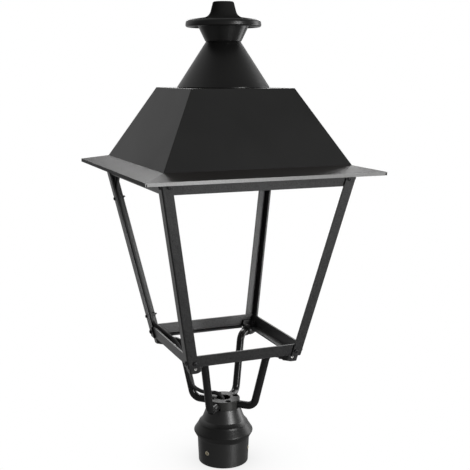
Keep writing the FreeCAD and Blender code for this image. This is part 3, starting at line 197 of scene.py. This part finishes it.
def textured_paint(name):
    """Fine-grained black powder coat of the legs, rails, corner feet and the LED unit's frame."""
    paint = Shader(name, (0.018, 0.018, 0.0185), 0.33, **{"Specular IOR Level": 0.45})
    grain = paint.noise(520.0, detail=4.0, roughness=0.7)
    crests = paint.ramp(grain, 0.0, 1.0, start=0.38, end=0.66)
    paint.color(crests, (0.011, 0.011, 0.0115), (0.044, 0.044, 0.0445))
    paint.rough(grain, 0.26, 0.4)
    paint.bump(grain, 0.4, distance=0.0008)
    return paint.material


def satin_paint(name):
    """Smoother satin coat of the spire and the cup, with a duller bead and a matt knob."""
    paint = Shader(name, (0.012, 0.012, 0.0118), 0.3)
    waves = paint.noise(9.0)
    height = paint.axes(paint.place)["Z"]
    cup = paint.below(height, CUP_TOP, fade=0.02)
    bead = paint.times(paint.above(height, BEAD_LOW, fade=0.003),
                       paint.below(height, BEAD_HIGH, fade=0.004))
    knob = paint.above(height, BRIM_TOP, fade=0.001)

    coat = paint.blend(paint.vary(waves, 0.0, 1.0), (0.0098, 0.0098, 0.0097), (0.0145, 0.0145, 0.014))
    paint.feed("Base Color", paint.cover(knob, coat, KNOB_COAT))
    rough = paint.calculate("ADD", paint.vary(waves, 0.27, 0.33), paint.weigh(cup, 0.0, 0.08))
    paint.feed("Roughness", rough)
    gloss = paint.times(paint.weigh(cup, 0.5, 1.0), paint.weigh(knob, 1.0, 0.0))
    paint.feed("Specular IOR Level", paint.times(gloss, paint.weigh(bead, 1.0, 0.5)))
    paint.bump(paint.noise(1400.0), 0.1)
    return paint.material


def hood_paint(name):
    """Dull satin coat of the hood, dusty on the cornice, with a painted highlight along the front of its
    lip and painted shade on the lip's left face.
    """
    paint = Shader(name, (0.013, 0.013, 0.0128), 0.42)
    waves = paint.noise(7.0)
    specks = paint.noise(420.0, detail=3.0, roughness=0.65)
    faces = paint.axes(paint.add("ShaderNodeNewGeometry").outputs["Normal"])
    spot = paint.axes(paint.place)
    dust = paint.times(paint.above(faces["Z"], UPWARD, fade=0.12), paint.vary(specks, 0.6, 1.0))
    # Painted highlight on the lip's front face, brightest at the left and fading to the right, broken up
    # by specks
    front = paint.times(paint.below(faces["Y"], FRONTWARD, fade=0.1),
                        paint.below(spot["Z"], LIP_TOP, fade=0.002))
    lip_highlight_fade = paint.times(front, paint.ramp(spot["X"], 1.0, 0.58, start=-0.1, end=0.06))
    painted_lip_highlight = paint.times(lip_highlight_fade, paint.vary(specks, 0.75, 1.0))
    # Painted shade: the lip's left face gets far less gloss than the rest, so that it reads darker
    side = paint.times(paint.below(faces["X"], LEFTWARD, fade=0.02),
                       paint.below(spot["Z"], LIP_TOP, fade=0.001))

    coat = paint.blend(paint.vary(waves, 0.0, 1.0), (0.0105, 0.0105, 0.0103), (0.0155, 0.0155, 0.015))
    paint.feed("Base Color", paint.cover(painted_lip_highlight, paint.cover(dust, coat, DUST), PAINTED_LIP_HIGHLIGHT))
    rough = paint.calculate("MAXIMUM", paint.vary(waves, 0.42, 0.48), paint.weigh(dust, 0.0, 0.52))
    paint.feed("Roughness", rough)
    gloss = paint.times(paint.weigh(side, 0.5, 0.1), paint.weigh(dust, 1.0, 0.75))
    paint.feed("Specular IOR Level", gloss)
    paint.bump(paint.noise(1300.0), 0.14)
    return paint.material


def gloss_paint(name):
    """Glossy coat of the arms' bent tubes."""
    paint = Shader(name, (0.011, 0.011, 0.0112), 0.2)
    waves = paint.noise(14.0)
    paint.color(paint.vary(waves, 0.0, 1.0), (0.009, 0.009, 0.0092), (0.014, 0.014, 0.0142))
    paint.rough(waves, 0.16, 0.24)
    paint.bump(paint.noise(900.0), 0.06)
    return paint.material


def hub_paint(name):
    """Greyer, uneven coat of the clamp ring over the arms."""
    paint = Shader(name, (0.03, 0.03, 0.028), 0.42)
    grain = paint.noise(700.0, detail=3.0)
    paint.color(paint.vary(grain, 0.0, 1.0), (0.022, 0.022, 0.021), (0.05, 0.05, 0.046))
    paint.rough(grain, 0.3, 0.5)
    paint.bump(grain, 0.2, distance=0.0004)
    return paint.material


def clear_optic(name):
    """Clear moulded plastic of the plate with the LEDs' lenses."""
    shader = Shader(name, (0.95, 0.96, 0.97), 0.08, **{"IOR": 1.49, "Transmission Weight": 0.9})
    cloud = shader.noise(300.0)
    shader.rough(cloud, 0.05, 0.14)
    shader.bump(cloud, 0.02, distance=0.0002)
    return shader.material


def metal(name, dark, light, roughness, scale=160.0, metallic=1.0):
    """Plated, turned or extruded metal with fine streaks."""
    shader = Shader(name, light, roughness, metallic)
    streaks = shader.noise(scale, detail=4.0, stretch=(1.0, 1.0, 0.2))
    shader.color(shader.vary(streaks, 0.0, 1.0), dark, light)
    shader.rough(streaks, roughness * 0.8, roughness * 1.25)
    shader.bump(streaks, 0.08, distance=0.0002)
    return shader.material


def plastic(name, dark, light, roughness):
    """Moulded plastic or rubber with a fine surface grain."""
    shader = Shader(name, light, roughness)
    grain = shader.noise(1100.0)
    shader.color(shader.vary(shader.noise(30.0), 0.0, 1.0), dark, light)
    shader.rough(grain, roughness * 0.85, roughness * 1.15)
    shader.bump(grain, 0.15)
    return shader.material


# Makers of the coats and the optic, by material
COATS = {
    "textured_black_paint": textured_paint,
    "satin_black_paint": satin_paint,
    "hood_black_paint": hood_paint,
    "gloss_black_paint": gloss_paint,
    "hub_grey_paint": hub_paint,
    "clear_plastic": clear_optic,
}
# Dark and light colour and roughness of each metal
METALS = {
    "zinc_steel": ((0.24, 0.24, 0.23), (0.46, 0.455, 0.44), 0.3),
    "black_steel": ((0.02, 0.02, 0.021), (0.07, 0.07, 0.072), 0.38),
    "brass": ((0.72, 0.64, 0.46), (0.95, 0.89, 0.72), 0.38),
    "galvanised_sheet": ((0.36, 0.37, 0.38), (0.56, 0.57, 0.58), 0.42),
    "raw_aluminium": ((0.55, 0.55, 0.56), (0.78, 0.78, 0.79), 0.35),
}
# What single metals have of their own: a film that hides part of the metal, or broader streaks
METAL_TRAITS = {
    "black_steel": {"metallic": 0.6},
    "brass": {"metallic": 0.35},
    "galvanised_sheet": {"scale": 60.0},
}
# Dark and light colour and roughness of each plastic and rubber
PLASTICS = {
    "board_white": ((0.72, 0.72, 0.7), (0.84, 0.84, 0.82), 0.4),
    "black_rubber": ((0.012, 0.012, 0.0125), (0.022, 0.022, 0.022), 0.5),
    "black_nylon": ((0.014, 0.014, 0.015), (0.028, 0.028, 0.028), 0.42),
    "grey_plastic": ((0.3, 0.31, 0.32), (0.4, 0.41, 0.42), 0.45),
    "white_plastic": ((0.7, 0.7, 0.68), (0.82, 0.82, 0.8), 0.42),
}


def make_materials():
    """The materials by their names in the record."""
    materials = {name: maker(name) for name, maker in COATS.items()}
    for name, look in METALS.items():
        materials[name] = metal(name, *look, **METAL_TRAITS.get(name, {}))
    for name, look in PLASTICS.items():
        materials[name] = plastic(name, *look)
    return materials


def dress(materials):
    """Gives every node of the frame the material of its slot."""
    for part in frame["record"]["subparts"]:
        for slot in frame["nodes"][part["node"]].material_slots:
            slot.material = materials[part["material_slot"]]


# Floor, light and camera

def white_where_seen(nodes, shader, surface, strength=None):
    """Shows plain white to the camera and through clear plastic, and the given shader otherwise."""
    path = nodes.add("ShaderNodeLightPath").outputs
    seen = nodes.calculate("MAXIMUM", path["Is Camera Ray"], path["Is Transmission Ray"])
    white = nodes.add("ShaderNodeEmission")
    nodes.set(white, Color=(1.0, 1.0, 1.0, 1.0), Strength=1.0)
    if strength is not None:
        nodes.link(strength, white.inputs["Strength"])
    mix = nodes.add("ShaderNodeMixShader")
    nodes.link(seen, mix.inputs["Fac"])
    nodes.link(shader, mix.inputs[1])
    nodes.link(white.outputs["Emission"], mix.inputs[2])
    nodes.link(mix.outputs["Shader"], surface)


def make_floor():
    """A white floor with a soft contact shadow, clear to the room's light."""
    sides = ((-1, -1), (1, -1), (1, 1), (-1, 1))
    corners = [(x * FLOOR_REACH, y * FLOOR_REACH, -FLOOR_DROP) for x, y in sides]
    mesh = bpy.data.meshes.new("floor")
    mesh.from_pydata(corners, [], [(0, 1, 2, 3)])
    floor = bpy.data.objects.new("floor", mesh)
    bpy.context.collection.objects.link(floor)
    material = bpy.data.materials.new("floor_paint")
    material.use_nodes = True
    nodes = Nodes(material.node_tree)
    nodes.tree.nodes.remove(nodes.tree.nodes["Principled BSDF"])
    clear = nodes.add("ShaderNodeBsdfTransparent").outputs["BSDF"]
    contact = nodes.add("ShaderNodeAmbientOcclusion")
    nodes.set(contact, Distance=SHADOW_REACH)
    shadow = nodes.weigh(contact.outputs["AO"], SHADOW_WHITE, 1.0)
    white_where_seen(nodes, clear, nodes.tree.nodes["Material Output"].inputs["Surface"], shadow)
    mesh.materials.append(material)


def make_world():
    """A pale backdrop behind the lantern and a dark room in front, as its surfaces mirror them."""
    world = bpy.data.worlds.new("studio")
    world.use_nodes = True
    nodes = Nodes(world.node_tree)
    turn = math.radians(CAMERA_AZIMUTH + 180.0 + BACKDROP_TURN)
    toward = nodes.add("ShaderNodeVectorMath", operation="DOT_PRODUCT")
    toward.inputs[1].default_value = (math.cos(turn), math.sin(turn), BACKDROP_RISE)
    nodes.link(nodes.add("ShaderNodeTexCoord").outputs["Generated"], toward.inputs[0])
    light = nodes.ramp(toward.outputs["Value"], ROOM_LIGHT, BACKDROP_LIGHT, *BACKDROP_EDGE,
                       interpolation_type="SMOOTHSTEP")
    room = nodes.tree.nodes["Background"]
    nodes.set(room, Color=(1.0, 1.0, 1.0, 1.0))
    nodes.link(light, room.inputs["Strength"])
    white_where_seen(nodes, room.outputs["Background"], nodes.tree.nodes["World Output"].inputs["Surface"])
    bpy.context.scene.world = world


def make_lights():
    """White lamps that the camera doesn't see."""
    for name, (place, target, size, power) in LAMPS.items():
        light = bpy.data.lights.new(name, "AREA")
        light.shape = "RECTANGLE"
        light.size, light.size_y = size
        light.energy = power
        lamp = bpy.data.objects.new(name, light)
        lamp.location = place
        aim = Vector(target) - Vector(place)
        lamp.rotation_euler = aim.to_track_quat("-Z", "Y").to_euler()
        lamp.visible_camera = False
        bpy.context.collection.objects.link(lamp)


def make_camera():
    """The photograph's camera, aimed at the lantern's axis."""
    camera = bpy.data.cameras.new("camera")
    camera.sensor_width = CAMERA_SENSOR
    camera.lens = CAMERA_LENS
    camera.shift_x = CAMERA_SHIFT
    eye = bpy.data.objects.new("camera", camera)
    turn = math.radians(CAMERA_AZIMUTH)
    eye.location = (CAMERA_DISTANCE * math.cos(turn), CAMERA_DISTANCE * math.sin(turn), CAMERA_HEIGHT)
    eye.rotation_euler = (math.radians(90.0 - CAMERA_PITCH), 0, turn + math.radians(90.0))
    bpy.context.collection.objects.link(eye)
    bpy.context.scene.camera = eye


dress(make_materials())
make_floor()
make_world()
make_lights()
make_camera()
bpy.context.scene.view_settings.view_transform = "Standard"
